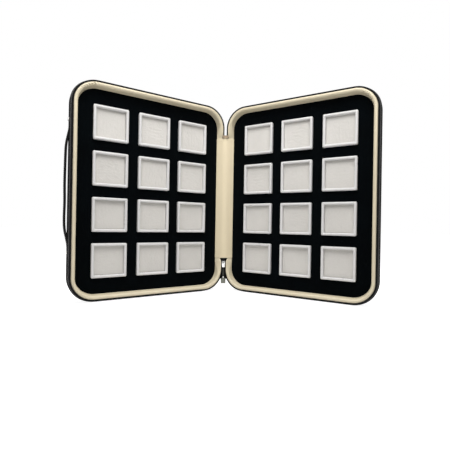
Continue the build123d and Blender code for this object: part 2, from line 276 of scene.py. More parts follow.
def soften(piece, width, segments, angle):
    """Rounds the edges that turn by more than the angle."""
    modify(piece, "BEVEL", width=width, segments=segments, limit_method="ANGLE",
           angle_limit=math.radians(angle), harden_normals=False)


def smooth(piece, angle):
    make_active(piece)
    bpy.ops.object.shade_smooth_by_angle(angle=math.radians(angle))


def move_points(piece, rule):
    """Moves every point of a mesh to where the rule puts it."""
    for point in piece.data.vertices:
        point.co = rule(point.co)
    piece.data.update()


def copied(piece, name):
    twin = piece.copy()
    twin.data = piece.data.copy()
    twin.name = twin.data.name = name
    bpy.context.collection.objects.link(twin)
    return twin


def joined(pieces, name):
    deselect()
    for piece in pieces:
        piece.select_set(True)
    bpy.context.view_layer.objects.active = pieces[0]
    bpy.ops.object.join()
    piece = bpy.context.active_object
    piece.name = piece.data.name = name
    return piece


def discard(piece):
    make_active(piece)
    bpy.ops.object.delete()


def half_place(side):
    """Where a flat half lies: x away from the fold line, y up, z out of the mouth."""
    lean = settings().case.lean
    across = Vector((side * math.cos(lean), -math.sin(lean), 0))
    mouth = Vector((-side * math.sin(lean), -math.cos(lean), 0))
    place = Matrix((across, Vector((0, 0, 1)), mouth)).transposed().to_4x4()
    place.translation = FOLD
    return place


def lay(piece, side):
    """Lays a piece that was modelled flat on its half of the case."""
    piece.data.transform(half_place(side))
    if side < 0:
        piece.data.flip_normals()
    return piece


def opened(distance, height):
    """Where a point of a half's section lies as the case stands: beside and before the fold."""
    lean = settings().case.lean
    return Vector((distance * math.cos(lean) - height * math.sin(lean),
                   distance * math.sin(lean) + height * math.cos(lean)))


def arc(centre, radius, start, end, steps):
    return [Vector((centre[0] + radius * math.cos(start + (end - start) * step / steps),
                    centre[1] + radius * math.sin(start + (end - start) * step / steps)))
            for step in range(steps + 1)]


def point_along(route, distance):
    """A point on a run of straight pieces, and the normal to its left."""
    for start, end in zip(route, route[1:]):
        step = (end - start).length
        if distance <= step or end is route[-1]:
            ahead = (end - start).normalized()
            return start + ahead * distance, Vector((-ahead.y, ahead.x))
        distance -= step
    raise RuntimeError("the route has no end")


def route_length(route):
    return sum((end - start).length for start, end in zip(route, route[1:]))


def dress(piece, finish, slot, *nodes):
    """Gives a piece its material and hides the CAD nodes that it stands for."""
    piece.data.materials.clear()
    piece.data.materials.append(material(finish))
    if nodes:
        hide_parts(*nodes)


def finish_piece(piece, finish, body, slot, *nodes):
    """Dresses a piece that moves with one body."""
    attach(piece, body)
    dress(piece, finish, slot, *nodes)


def ripple(point, cell, seed=0):
    """Soft noise from -1 to 1 at a point, with features of about the cell's size."""
    return noise.noise(point / cell + Vector((seed, 2 * seed, 3 * seed)))


def ripple_on(along, up, cell, seed):
    """The same noise over a flat sheet."""
    return ripple(Vector((along, up, 0)), cell, seed)


# ---------------------------------------------------------------- node groups
def put(tree, socket, value):
    """Links another socket to an input, or sets the input's own value."""
    if isinstance(value, bpy.types.NodeSocket):
        tree.links.new(value, socket)
    else:
        socket.default_value = value


def add(tree, kind, inputs, **options):
    """Adds a node; each of its inputs, by name or number, takes a socket or a value."""
    node = tree.nodes.new(kind)
    for key, value in options.items():
        setattr(node, key, value)
    for key, value in inputs.items():
        put(tree, node.inputs[key], value)
    return node


def calculate(tree, operation, *operands):
    """Adds a Math node; each operand is a socket or a number."""
    node = add(tree, "ShaderNodeMath", dict(enumerate(operands)), operation=operation)
    return node.outputs[0]


def remap(tree, value, low, high, to_low=0.0, to_high=1.0):
    """Adds a Map Range node: the value, then its range and the new range."""
    inputs = dict(enumerate((value, low, high, to_low, to_high)))
    return add(tree, "ShaderNodeMapRange", inputs).outputs[0]


def noise_in(tree, vector, scale, detail=3.0, roughness=0.55):
    inputs = {"Vector": vector, "Scale": scale, "Detail": detail, "Roughness": roughness}
    return add(tree, "ShaderNodeTexNoise", inputs).outputs["Fac"]


def new_group(name, outputs, **rates):
    """A node group that takes a vector and rates per metre; returns it with those sockets."""
    group = bpy.data.node_groups.new(name, "ShaderNodeTree")
    group.interface.new_socket(name="Vector", in_out="INPUT", socket_type="NodeSocketVector")
    for label, rate in rates.items():
        socket = group.interface.new_socket(name=f"{label} per metre", in_out="INPUT",
                                            socket_type="NodeSocketFloat")
        socket.default_value = rate
    for label in outputs:
        group.interface.new_socket(name=label, in_out="OUTPUT", socket_type="NodeSocketFloat")
    given = group.nodes.new("NodeGroupInput")
    return group, *given.outputs[:1 + len(rates)]


def give_out(group, **values):
    """Links a node group's outputs and returns it."""
    result = group.nodes.new("NodeGroupOutput")
    for label, value in values.items():
        put(group, result.inputs[label], value)
    return group


def grain_group():
    """Leather grain: rounded pebbles between fine creases, with a slow change of tone."""
    group, vector, pebbles, patches = new_group(
        "leather_grain", ("Height", "Crease", "Patch"), Pebbles=900.0, Patches=18.0)
    warp = add(group, "ShaderNodeTexNoise",
               {"Vector": vector, "Scale": calculate(group, "MULTIPLY", pebbles, 0.35)})
    shift = add(group, "ShaderNodeVectorMath",
                {0: warp.outputs["Color"], "Scale": calculate(group, "DIVIDE", 0.9, pebbles)},
                operation="SCALE")
    bent = add(group, "ShaderNodeVectorMath", {0: vector, 1: shift.outputs[0]}).outputs[0]
    cells = add(group, "ShaderNodeTexVoronoi", {"Vector": bent, "Scale": pebbles},
                feature="DISTANCE_TO_EDGE")
    crease = remap(group, cells.outputs["Distance"], 0.0, 0.22, 1.0, 0.0)
    fine = noise_in(group, bent, calculate(group, "MULTIPLY", pebbles, 3.0), 2.0)
    height = calculate(group, "SUBTRACT", calculate(group, "MULTIPLY", fine, 0.25), crease)
    patch = noise_in(group, vector, patches, 4.0)
    return give_out(group, Height=height, Crease=crease, Patch=patch)


def weave_group():
    """Woven tape: warp and weft threads that pass over each other."""
    group, vector, threads = new_group("woven_threads", ("Height", "Fibre"), Threads=1800.0)
    apart = add(group, "ShaderNodeSeparateXYZ", {0: vector})
    turns = calculate(group, "MULTIPLY", threads, math.pi)
    warp, weft = (
        calculate(group, "ABSOLUTE", calculate(
            group, "SINE", calculate(group, "MULTIPLY", apart.outputs[axis], turns)))
        for axis in (0, 1))
    height = calculate(group, "MAXIMUM", warp, calculate(group, "MULTIPLY", weft, 0.8))
    return give_out(group, Height=height, Fibre=noise_in(group, vector, 4000.0, 2.0))


def fibre_group():
    """Short fibres and a nap that lies in patches, for velvet and felted paper."""
    group, vector, fibres, naps = new_group(
        "short_fibres", ("Height", "Nap", "Speck"), Fibres=2500.0, Naps=30.0)
    fine = noise_in(group, vector, fibres, 3.0, 0.7)
    nap = noise_in(group, vector, naps, 3.0)
    return give_out(group, Height=fine, Nap=remap(group, nap, 0.3, 0.7),
                    Speck=remap(group, fine, 0.35, 0.65))


def use_group(name):
    builders = {"leather_grain": grain_group, "woven_threads": weave_group,
                "short_fibres": fibre_group}
    return bpy.data.node_groups.get(name) or builders[name]()


# ---------------------------------------------------------------- materials
class Finish:
    """A material with its shader's own values, to which grain, weave or fibres are added."""

    def __init__(self, name, base, roughness, **values):
        self.material = bpy.data.materials.new(name)
        self.material.use_nodes = True
        self.tree = self.material.node_tree
        self.shader = self.tree.nodes["Principled BSDF"]
        self.shader.inputs["Base Color"].default_value = (*base, 1)
        self.shader.inputs["Roughness"].default_value = roughness
        for label, value in values.items():
            self.shader.inputs[label.replace("_", " ")].default_value = value
        self.base = base

    def coordinates(self, output="Object"):
        return self.tree.nodes.new("ShaderNodeTexCoord").outputs[output]

    def group(self, name, vector, **rates):
        """Adds a node group, with its rates per metre, and returns its outputs."""
        inputs = {f"{label} per metre": rate for label, rate in rates.items()}
        return add(self.tree, "ShaderNodeGroup", {"Vector": vector, **inputs},
                   node_tree=use_group(name)).outputs

    def tint(self, mask, other, amount=1.0):
        """Blends the colour towards another where the mask is high."""
        before = self.shader.inputs["Base Color"]
        blend = calculate(self.tree, "MULTIPLY", mask, amount)
        under = before.links[0].from_socket if before.is_linked else (*self.base, 1)
        mix = add(self.tree, "ShaderNodeMix", {0: blend, 6: under, 7: (*other, 1)},
                  data_type="RGBA")
        self.tree.links.new(mix.outputs[2], before)

    def roughen(self, mask, low, high):
        put(self.tree, self.shader.inputs["Roughness"],
            remap(self.tree, mask, 0.25, 0.75, low, high))

    def emboss(self, height, strength, distance):
        bump = add(self.tree, "ShaderNodeBump",
                   {"Strength": strength, "Distance": distance, "Height": height})
        put(self.tree, self.shader.inputs["Normal"], bump.outputs[0])


def shade(base, factor):
    return tuple(part * factor for part in base)


def leather(name, base, roughness, pebbles, depth, crease, **values):
    """Leatherette of so many pebbles per metre, whose creases are a share of its colour."""
    finish = Finish(name, base, roughness, **values)
    grain = finish.group("leather_grain", finish.coordinates(), Pebbles=pebbles)
    finish.tint(grain["Patch"], shade(base, 0.93), 0.6)
    finish.tint(grain["Crease"], shade(base, crease), 0.7)
    finish.roughen(grain["Patch"], roughness - 0.05, roughness + 0.07)
    finish.emboss(grain["Height"], 0.5, depth)
    return finish


def fibrous(name, base, roughness, fibres, naps, tints, worn=None, relief=None, **values):
    """Fibres or specks: tints are (mask, colour, amount) and relief is (strength, depth)."""
    finish = Finish(name, base, roughness, **values)
    marks = finish.group("short_fibres", finish.coordinates(), Fibres=fibres, Naps=naps)
    if worn:
        finish.roughen(marks["Nap"], *worn)
    for mask, other, amount in tints:
        finish.tint(marks[mask], other, amount)
    if relief:
        finish.emboss(marks["Height"], *relief)
    return finish


def metal(name, base, roughness, scratches):
    """Plated metal with so many fine scratches per metre."""
    return fibrous(name, base, roughness, scratches, 260, [("Speck", shade(base, 0.82), 0.5)],
                   (roughness * 0.75, roughness * 1.35), (0.15, 0.04 * MM), Metallic=1.0)


def woven(name, source, tone):
    """Woven tape by its UV map or in the object's own coordinates; a tone below 1 paints it darker,
    as shade.
    """
    finish = Finish(name, shade((0.012, 0.012, 0.013), tone), 0.85, Sheen_Weight=0.15 * tone,
                    Specular_IOR_Level=0.5 * tone)
    vector = finish.coordinates(source)
    if source == "Object":
        vector = add(finish.tree, "ShaderNodeMapping",
                     {"Vector": vector, "Rotation": (QUARTER, 0, 0)}).outputs[0]
    threads = finish.group("woven_threads", vector, Threads=1500)
    finish.tint(threads["Fibre"], shade((0.03, 0.03, 0.032), tone), 0.7)
    finish.emboss(threads["Height"], 0.6, 0.2 * MM)
    return finish


# where the pull's painted shade starts and is full
PULL_SHADE = 9.5 * MM, 11 * MM  # above its lower end, where it starts and is full


def make_finishes():
    colours = settings().colour
    made = {
        "shell": leather("black_leatherette", colours.shell, 0.55, 1100, 0.12 * MM, 0.5,
                         Specular_IOR_Level=0.08),
        "strap": leather("strap_leatherette", colours.shell, 0.45, 1500, 0.06 * MM, 0.6,
                         Specular_IOR_Level=0.14),
        "rim": leather("cream_rim_leatherette", colours.rim, 0.5, 1900, 0.06 * MM, 0.9),
        "lining": leather("cream_lining_leatherette", colours.lining, 0.6, 1700, 0.08 * MM, 0.9),
        # painted shade: the tab is cream lining coloured darker brown
        "tab": leather("end_tab_painted_shade", colours.tab, 0.6, 1500, 0.08 * MM, 0.86),
        "velvet": fibrous("black_velvet", colours.velvet, 0.95, 2200, 26,
                          [("Nap", shade(colours.velvet, 1.9), 0.8)], relief=(0.7, 0.4 * MM),
                          Sheen_Weight=0.015, Sheen_Roughness=0.5, Specular_IOR_Level=0.04),
        "tray": fibrous("white_tray_plastic", colours.tray, 0.32, 1200, 60,
                        [("Nap", shade(colours.tray, 0.97), 0.6)], (0.27, 0.38),
                        (0.12, 0.05 * MM), Specular_IOR_Level=0.45),
        "pad": fibrous("felted_pad", colours.pad, 0.85, 700, 24,
                       [("Nap", shade(colours.pad, 0.9), 0.8),
                        ("Speck", shade(colours.pad, 1.06), 0.5)],
                       relief=(0.6, 0.4 * MM), Sheen_Weight=0.1, Sheen_Roughness=0.6),
        "board": fibrous("grey_board", (0.32, 0.29, 0.25), 0.9, 900, 50,
                         [("Speck", (0.22, 0.2, 0.17), 0.7)], relief=(0.4, 0.3 * MM)),
        "tape": woven("woven_zip_tape", "UV", 1),
        # the end tape and the gusset are the same black tape, painted darker as shade in the gap
        # round the slider
        "end_tape": woven("woven_tape_painted_shade", "Object", 0.35),
        "teeth": fibrous("black_zip_teeth", (0.07, 0.066, 0.06), 0.3, 900, 90,
                         [("Speck", (0.03, 0.03, 0.032), 0.5)], (0.24, 0.42)),
        "slider": metal("silver_plating", (0.82, 0.82, 0.8), 0.24, 3000),
        "pull": metal("brushed_grey_metal", (0.15, 0.155, 0.135), 0.4, 4200),
        "rivet": metal("nickel_rivet", (0.76, 0.75, 0.72), 0.2, 3000),
        "thread": fibrous("sewing_thread", colours.thread, 0.6, 5000, 300,
                          [("Speck", shade(colours.thread, 2.2), 0.6)], Sheen_Weight=0.2),
    }
    # painted shade: the pull darkens where its plate runs up behind the slider
    pull, low = made["pull"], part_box("zip_pull")[0].z
    height = add(pull.tree, "ShaderNodeSeparateXYZ", {0: pull.coordinates()}).outputs[2]
    pull.tint(remap(pull.tree, height, low + PULL_SHADE[0], low + PULL_SHADE[1]),
              shade(pull.base, 0.3))
    return {key: finish.material for key, finish in made.items()}


MATERIALS = {}


def material(name):
    if not MATERIALS:
        MATERIALS.update(make_finishes())
    return MATERIALS[name]


def dress_node(node, finish):
    """Gives a CAD node a better material in its own slots."""
    for slot in frame["nodes"][node].material_slots:
        slot.material = material(finish)


# ---------------------------------------------------------------- pieces
def case_middle():
    """From the fold line to the middle of a mouth."""
    case = settings().case
    return case.spine_wall + case.collar_width / 2


def tray_place(column, row, height=0.0):
    """The middle of a tray, at a height above the closing plane."""
    tray = settings().tray
    return Vector((
        case_middle() + tray.shift + (column - (tray.columns - 1) / 2) * tray.column_pitch,
        ((tray.rows - 1) / 2 - row) * tray.row_pitch, height))


def tray_spots():
    """The column and the row of every tray of a half."""
    tray = settings().tray
    return product(range(tray.columns), range(tray.rows))


def rounded_plate(name, centre, width, height, corner, z, corner_cuts, side_cuts):
    """A flat face with round corners and its sides cut into short edges."""
    plate = begin(name, "plane", at=(centre, 0, z), size=(width / 2, height / 2, 1))
    with editing(plate, "SELECT"):
        bpy.ops.mesh.bevel(offset=corner, offset_type="OFFSET", segments=corner_cuts,
                           affect="VERTICES", profile=0.5)
        pick(plate, "EDGE", lambda edge: edge.calc_length() > 20 * MM)
        bpy.ops.mesh.subdivide(number_cuts=side_cuts)
    return plate


class CASE_OT_shells(bpy.types.Operator):
    """Cover the shells in black leatherette and finish the boards inside them"""
    bl_idname = "coin_case.shells"
    bl_label = "Shells"

    def execute(self, context):
        for half in HALVES:
            dress_node(f"{half}_shell", "shell")
            dress_node(f"{half}_backing_board", "board")
            dress_node(f"{half}_velvet_board", "velvet")
        return {"FINISHED"}


def strip_slope():
    """The strip's slope down a half, and where its outside meets the velvet as the case stands."""
    case, rim, spine = settings().case, settings().rim, settings().spine
    run = case.spine_wall + case.wall + rim.width - spine.setback
    fall = case.velvet - spine.setback
    slope = math.atan2(fall, run) - math.asin(spine.thickness / math.hypot(run, fall))
    foot = spine.setback + run + spine.thickness / math.sin(slope)
    return slope, opened(foot, -case.velvet)


class CASE_OT_rims(bpy.types.Operator):
    """Sew the padded cream rims round both mouths"""
    bl_idname = "coin_case.rims"
    bl_label = "Padded Rims"

    GATHERS, GATHER_CELL = 30, 0.01  # round a corner, to a radian, and how finely they waver
    SWAY_CELL = 0.022
    # creases: where they lie round the corner and how far they reach, in radians, how many
    # there are to a radian, how they slant, in radians to a metre, and how deep they end
    CREASE_AT, CREASE_REACH, CREASES, CREASE_SLANT, CREASE_END = 1.3, 0.45, 25, 380, 10 * MM
    STEEP_RUN = 0.6 * MM  # how much narrower than the rim its slope beside the strip is
    HELD = 0.5 * MM  # beside the collar, where the padding is held down
    TOP = 3 * MM  # how deep below the crest the padding is still loose
    LONG_EDGE = 5 * MM

    def execute(self, context):
        case, rim, spine = settings().case, settings().rim, settings().spine
        centre = case_middle()
        width, height = case.collar_width - 2 * case.wall, case.collar_height - 2 * case.wall
        corner = case.collar_corner - case.wall
        ring = rounded_plate("rim", centre, width, height, corner, -case.crest, 90, 200)
        base = case.velvet + rim.sunk

        def past_corner(point):
            """How far a point lies past the middle of its corner's round, across and up."""
            return (abs(point.x - centre) - (width / 2 - corner),
                    abs(point.y) - (height / 2 - corner))

        def across(point):
            """How far inside the ring's outline a point lies."""
            x, y = past_corner(point)
            return corner - (math.hypot(x, y) if x > 0 and y > 0 else max(x, y))

        def on_crest(edge, low, high):
            """Whether an edge lies on the crest, between two distances inside the outline."""
            return middle(edge).z > -case.crest - 1e-6 and low < across(middle(edge)) < high

        with editing(ring, "SELECT"):
            bpy.ops.mesh.inset(thickness=rim.width, depth=0, use_even_offset=True)
            bpy.ops.mesh.delete(type="FACE")
            pick(ring, "EDGE", lambda edge: edge.is_boundary)
            extrude(base - case.crest)
            bpy.ops.mesh.bridge_edge_loops()
            pick(ring, "EDGE", lambda edge: on_crest(edge, -width, rim.width / 4))
            bevel(rim.outside_round, 8)
            pick(ring, "EDGE", lambda edge: on_crest(edge, rim.width * 0.97, width))
            bevel(rim.inside_round, 8)
            pick(ring, "EDGE",
                 lambda edge: runs_along(edge, 2) and edge.calc_length() > self.LONG_EDGE)
            bpy.ops.mesh.subdivide(number_cuts=5)
        face_outwards(ring)

        slope, _ = strip_slope()
        steep = (case.velvet - case.crest) / (rim.width - self.STEEP_RUN)

        def fade(past, reach):
            share = 1 - min(1, max(0, past) / reach)
            return share * share * (3 - 2 * share)

        def pad_out(point):
            inside = across(point)
            # pressed down under the strip, then a steep slope that rises to the full padding
            past = abs(point.y - spine.rise) - spine.lining_length / 2
            if point.x < case.spine_wall + case.collar_corner and past < rim.rise:
                fall = steep + (math.tan(slope) - steep) * fade(past, rim.rise / 4)
                room = base - case.velvet + max(0, rim.width - inside) * fall
                pressed = -base + (point.z + base) * min(1, room / (base - case.crest))
                down = (pressed - point.z) * fade(past, rim.rise)
                point = Vector((point.x, point.y, point.z + down))
                if past < 0:
                    return point
            # the inner wall spreads towards the velvet
            low = max(0, -point.z - case.crest) / (case.velvet - case.crest)
            if inside > rim.width - NEAR:
                spread = 2 * rim.flare * min(1, low) ** 2
                point = Vector((centre + (point.x - centre) * (1 - spread / width),
                                point.y * (1 - spread / height), point.z))
            if point.z < -case.velvet + MM or inside < self.HELD:
                return point
            # uneven all round, and gathered round the corners
            share = min(1, inside / rim.width)
            lift = rim.sway * (ripple(point, self.SWAY_CELL, 3) - 0.35) * share
            x, y = past_corner(point)
            if x > 0 and y > 0:
                turn = math.atan2(y, x)
                waver = 2 * ripple(point, self.GATHER_CELL, 5)
                gathers = 0.4 - abs(math.sin(turn * self.GATHERS + waver)) ** 4
                lift += rim.gather * math.sin(2 * turn) * share * gathers
            loose = 1 if point.z > -case.crest - self.TOP else 0.3
            return point + Vector((0, 0, lift * loose))

        def crease(point):
            """Slanting creases where the left half's upper outer corner runs into its top side."""
            x, y = past_corner(point)
            if point.x < centre or point.y < 0 or y < 0 or x < -corner:
                return point
            turn = math.atan2(y, x) if x > 0 else QUARTER - x / corner
            share, down = min(1, across(point) / rim.width), max(0, -point.z - case.crest)
            pull = math.exp(-((turn - self.CREASE_AT) / self.CREASE_REACH) ** 2)
            slant = (share * rim.width + down) * self.CREASE_SLANT
            waver = 2.5 * ripple(point, 0.008, 9)
            fold = abs(math.sin(turn * self.CREASES - slant + waver)) ** 4
            depth = (rim.crease * pull * max(0, 1 - down / self.CREASE_END) * fold
                     * (0.8 + ripple(point, 0.006, 21)))
            outwards = Vector((max(0, x), y, 0)).normalized()
            return point + depth * (outwards * math.sin(share * QUARTER)
                                    - Vector((0, 0, math.sin(share * math.pi) / 2)))

        move_points(ring, pad_out)
        smooth(ring, 60)
        for half, side in HALVES.items():
            rim_piece = copied(ring, f"padded_rim_{half}")
            if side < 0:
                move_points(rim_piece, crease)
            lay(rim_piece, side)
            finish_piece(rim_piece, "rim", f"{half}_half", "cream_leatherette", f"{half}_rim")
        discard(ring)
        return {"FINISHED"}


class CASE_OT_trays(bpy.types.Operator):
    """Mould one coin tray and set a copy in each place"""
    bl_idname = "coin_case.trays"
    bl_label = "Coin Trays"

    AROUND = 32  # points round the tray, a quarter of them on each corner
    FOOT, FOOT_MIDDLE = 0.5 * MM, 0.15 * MM  # rounding of the foot, and its middle point
    FLOOR_EDGE, INNER_CORNER = 0.3 * MM, 0.6 * MM

    def execute(self, context):
        tray = settings().tray
        # across the wall: (in from the outside, height above the lip)
        low, floor = -tray.height, tray.floor - tray.height
        section = [(self.FOOT, low), (self.FOOT_MIDDLE, low + self.FOOT_MIDDLE),
                   (0, low + self.FOOT)]
        for at, start in ((tray.edge, math.pi), (tray.lip - tray.edge, QUARTER)):
            section += arc((at, -tray.edge), tray.edge, start, start - QUARTER, 6)
        section += [(tray.lip, floor + self.FLOOR_EDGE), (tray.lip + self.FLOOR_EDGE, floor)]
        last, on_corner = len(section) - 1, self.AROUND // 4
        cup = begin("coin_tray", "cylinder", vertices=self.AROUND, radius=1, depth=1,
                    end_fill_type="NOTHING")
        with editing(cup):
            pick(cup, "EDGE", lambda edge: runs_along(edge, 2))
            bpy.ops.mesh.subdivide(number_cuts=last - 1)

        def turn(point):
            """Puts a point of the plain tube on the wall's section, round the square's corners."""
            inset, height = section[round((point.z + 0.5) * last)]
            spot = round(math.atan2(point.y, point.x) / math.tau * self.AROUND) % self.AROUND
            corner, step = divmod(spot, on_corner)
            bend = tray.corner + (self.INNER_CORNER - tray.corner) * inset / tray.lip
            angle = QUARTER * (corner + step / (on_corner - 1))
            middle_of_bend = Vector((1, 1)) * (tray.side / 2 - inset - bend)
            middle_of_bend.rotate(Matrix.Rotation(corner * QUARTER, 2))
            return Vector((middle_of_bend.x + bend * math.cos(angle),
                           middle_of_bend.y + bend * math.sin(angle), height))

        move_points(cup, turn)
        for level in (low, floor):
            with editing(cup):
                pick(cup, "EDGE", lambda edge: edge.is_boundary
                     and abs(middle(edge).z - level) < NEAR)
                bpy.ops.mesh.edge_face_add()
        face_outwards(cup)
        smooth(cup, 45)
        for half, side in HALVES.items():
            for column, row in tray_spots():
                copy = copied(cup, f"coin_tray_{half}_{column + 1}{row + 1}")
                copy.data.transform(Matrix.Translation(tray_place(column, row, -tray.setback)))
                lay(copy, side)
                finish_piece(copy, "tray", f"{half}_half", "white_tray",
                             f"{half}_tray_column{column + 1}_row{row + 1}")
        discard(cup)
        return {"FINISHED"}


class CASE_OT_pads(bpy.types.Operator):
    """Lay a crinkled pad in every tray"""
    bl_idname = "coin_case.pads"
    bl_label = "Tray Pads"

    CUTS = 60
    STRETCH = 2.4  # how much finer the folds are across than along
    FOLD_CELL, FOLD_DEPTH = 0.012, 0.14 * MM
    FINE_CELL, FINE_DEPTH = 0.004, 0.12 * MM
    DROOP = 0.5 * MM  # how far the pad's edges hang down
    UNDER = 0.05 * MM  # from its underside to the tray's floor

    def execute(self, context):
        tray = settings().tray
        width = tray.side - 2 * tray.lip - 2 * tray.pad_gap
        top = -(tray.setback + tray.height - tray.floor - tray.pad)
        pad = begin("pad", "grid", at=(0, 0, top), size=(width / 2, width / 2, 1),
                    x_subdivisions=self.CUTS, y_subdivisions=self.CUTS)
        with editing(pad):
            pick(pad, "EDGE", lambda edge: edge.is_boundary)
            extrude(tray.pad - self.UNDER)
        for half, side in HALVES.items():
            pads = []
            for column, row in tray_spots():
                seed = column * 5 + row * 3 + side
                # the folds run up one pad and across the next
                upright = (column + row) % 2 == 0
                stretch = Vector((self.STRETCH, 1, 0) if upright else (1, self.STRETCH, 0))
                place = tray_place(column, row)

                def crinkle(point):
                    if point.z < top - MM:
                        return point + place
                    edge = 1 - (max(abs(point.x), abs(point.y)) / (width / 2)) ** 6
                    folds = abs(ripple(point * stretch, self.FOLD_CELL, seed)) * 2
                    fine = ripple(point * stretch, self.FINE_CELL, seed + 1) - 0.5
                    low = -self.DROOP * (1 - edge) - self.FOLD_DEPTH * edge * folds
                    return point + place + Vector((0, 0, low + self.FINE_DEPTH * edge * fine))

                copy = copied(pad, "pad_copy")
                move_points(copy, crinkle)
                pads.append(lay(copy, side))
            sheet = joined(pads, f"tray_pads_{half}")
            smooth(sheet, 50)
            finish_piece(sheet, "pad", f"{half}_half", "grey_pad", f"{half}_tray_pads")
        discard(pad)
        return {"FINISHED"}


def bent_sheet(name, route, low, high, cuts, rule, thickness, offset):
    """A sheet that runs from the left half over the fold to the right one; also its width.

    The route is drawn beside and before the fold line, from the fold outwards, and mirrored.
    The rule gives how far a point stands out of it, from its distances along and up.
    """
    half_width = route_length(route)
    sheet = begin(name, "grid", at=(0, (low + high) / 2, 0), size=(half_width, (high - low) / 2, 1),
                  x_subdivisions=cuts[0], y_subdivisions=cuts[1])

    def wrap(point):
        on_route, left = point_along(route, abs(point.x))
        on_route = on_route + left * rule(point.x, point.y)
        side = math.copysign(1, point.x) if abs(point.x) > 1e-7 else 0
        return FOLD + Vector((side * on_route.x, -on_route.y, point.y))

    move_points(sheet, wrap)
    modify(sheet, "SOLIDIFY", thickness=thickness, offset=offset)
    smooth(sheet, 50)
    return sheet, 2 * half_width


def fold_over(sheet, finish, slot, reach, *nodes):
    """Dresses a sheet that lies over the fold line and bakes its transform; the reach is not used.
    """
    dress(sheet, finish, slot, *nodes)
    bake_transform(sheet)


class CASE_OT_spine(bpy.types.Operator):
    """Glue the cream strip over the spine, its end tab, the black cover and the gusset"""
    bl_idname = "coin_case.spine"
    bl_label = "Spine"

    HEM, HEM_EDGE = 0.16 * MM, 0.4 * MM  # the hem's height and the width of its rounded end
    SOFT, SOFT_END = 0.14 * MM, 13 * MM  # depth of the strip's unevenness, and where it ends
    TAB_OVERLAP, GUSSET_OVERLAP = 0.2 * MM, 2 * MM  # under the strip
    # how far from the fold line the sheets reach, as handed to fold_over
    STRIP_BEND, COVER_BEND, GUSSET_BEND = 1.5 * MM, 1.2 * MM, 3 * MM
    CRUMPLE, PUSHED = 0.15 * MM, 1.8 * MM  # of the gusset, and how far its lower end goes back

    def execute(self, context):
        case, spine = settings().case, settings().spine
        half_length = spine.lining_length / 2
        low, high = spine.rise - half_length, spine.rise + half_length
        _, foot = strip_slope()
        top = opened(spine.setback, -spine.setback)
        fall = math.atan2(top.y - foot.y, foot.x - top.x)
        bend = Vector((0, top.y + top.x * math.tan(fall) - spine.ridge / math.cos(fall)))
        route = arc(bend, spine.ridge, QUARTER, QUARTER - fall, 8) + [foot]

        def strip_height(along, up):
            from_end = half_length - abs(up - spine.rise)
            hem = self.HEM * min(1, from_end / self.HEM_EDGE) if from_end < spine.hem else 0
            loose = 1 - min(1, abs(along) / self.SOFT_END) ** 4
            return hem + self.SOFT * (ripple_on(along, up, 0.018, 7) - 0.5) * loose

        lining, lining_width = bent_sheet("spine_strip", route, low, high, (81, 210), strip_height,
                                          spine.thickness, -1)
        fold_over(lining, "lining", "cream_lining", self.STRIP_BEND,
                  "left_spine_lining", "right_spine_lining")

        # the tab: over the collars' walls, then down the inside of them
        inside = case.spine_wall + case.wall
        tab_route = [Vector((0, -1.15 * MM)), opened(0.9 * MM, -0.95 * MM),
                     opened(inside + 0.1 * MM, -case.crest), opened(inside + 0.2 * MM, -6 * MM)]
        tab, _ = bent_sheet(
            "spine_end_tab", tab_route, high - self.TAB_OVERLAP, high + spine.tab_length, (41, 16),
            lambda along, up: 0.1 * MM * ripple_on(along, up, 0.003, 11) - 0.05 * MM,
            spine.tab_thickness, -1)
        # the tab's darker colour is painted shade on the cream lining
        fold_over(tab, "tab", "cream_lining", self.STRIP_BEND, "left_end_tab", "right_end_tab")

        # the cover: under the strip, then down between the two collars
        gap = case.spine_wall - 0.7 * MM
        cover_route = [Vector((0, -2.7 * MM)), opened(0.3 * MM, -3.1 * MM),
                       opened(gap, -3.9 * MM), opened(gap, -spine.cover_depth)]
        cover, cover_width = bent_sheet(
            "spine_cover", cover_route, low, high, (61, 120),
            lambda along, up: 0.08 * MM * ripple_on(along, up, 0.012, 13),
            spine.cover_thickness, 1)
        fold_over(cover, "shell", "black_spine", self.COVER_BEND,
                  "left_spine_cover", "right_spine_cover")

        # the gusset: from one spine wall round the pull's back to the other
        wall = case.spine_wall + spine.groove - 0.3 * MM
        gusset_route = [Vector((0, -8.9 * MM)), Vector((1.8 * MM, -8.8 * MM)),
                        opened(wall, -10.2 * MM), opened(wall, -11.6 * MM)]

        def gusset_height(along, up):
            """Slightly crumpled, and pushed back towards its lower end."""
            pushed = max(0, (low - up) / spine.gusset_length - 0.7) / 0.3
            return self.CRUMPLE * ripple_on(along, up, 0.006, 19) - self.PUSHED * pushed

        gusset, gusset_width = bent_sheet(
            "zip_gusset", gusset_route, low - spine.gusset_length, low + self.GUSSET_OVERLAP,
            (41, 40), gusset_height, spine.tab_thickness, 1)
        # painted shade: the gusset takes the darker copy of the tape
        fold_over(gusset, "end_tape", "black_tape", self.GUSSET_BEND)
        return {"FINISHED"}


def outline(inner, outer, half_height, corner, bare):
    """The line round three sides of a half, from its lower spine corner to the upper one.

    It leaves bare the first part of both spine corners, by that angle.
    """
    left, right, top = inner + corner, outer - corner, half_height - corner
    line = arc((left, -top), corner, math.pi + bare, 3 * QUARTER, 24)
    line += arc((right, -top), corner, 3 * QUARTER, 4 * QUARTER, 36)
    line += arc((right, top), corner, 0, QUARTER, 36)
    return line + arc((left, top), corner, QUARTER, math.pi - bare, 24)


def guide(points, kind="POLY"):
    """A flat guide curve for pieces that are bent along it."""
    curve = bpy.data.curves.new("guide", "CURVE")
    curve.dimensions = "2D"
    spline = curve.splines.new(kind)
    spline.points.add(len(points) - 1)
    for place, point in zip(spline.points, points):
        place.co = (point.x, point.y, 0, 1)
    if kind == "NURBS":
        spline.order_u, spline.use_endpoint_u, spline.resolution_u = 3, True, 12
    rail = bpy.data.objects.new("guide", curve)
    bpy.context.collection.objects.link(rail)
    return rail


def bend_along(piece, rail):
    modify(piece, "CURVE", object=rail, deform_axis="POS_X")


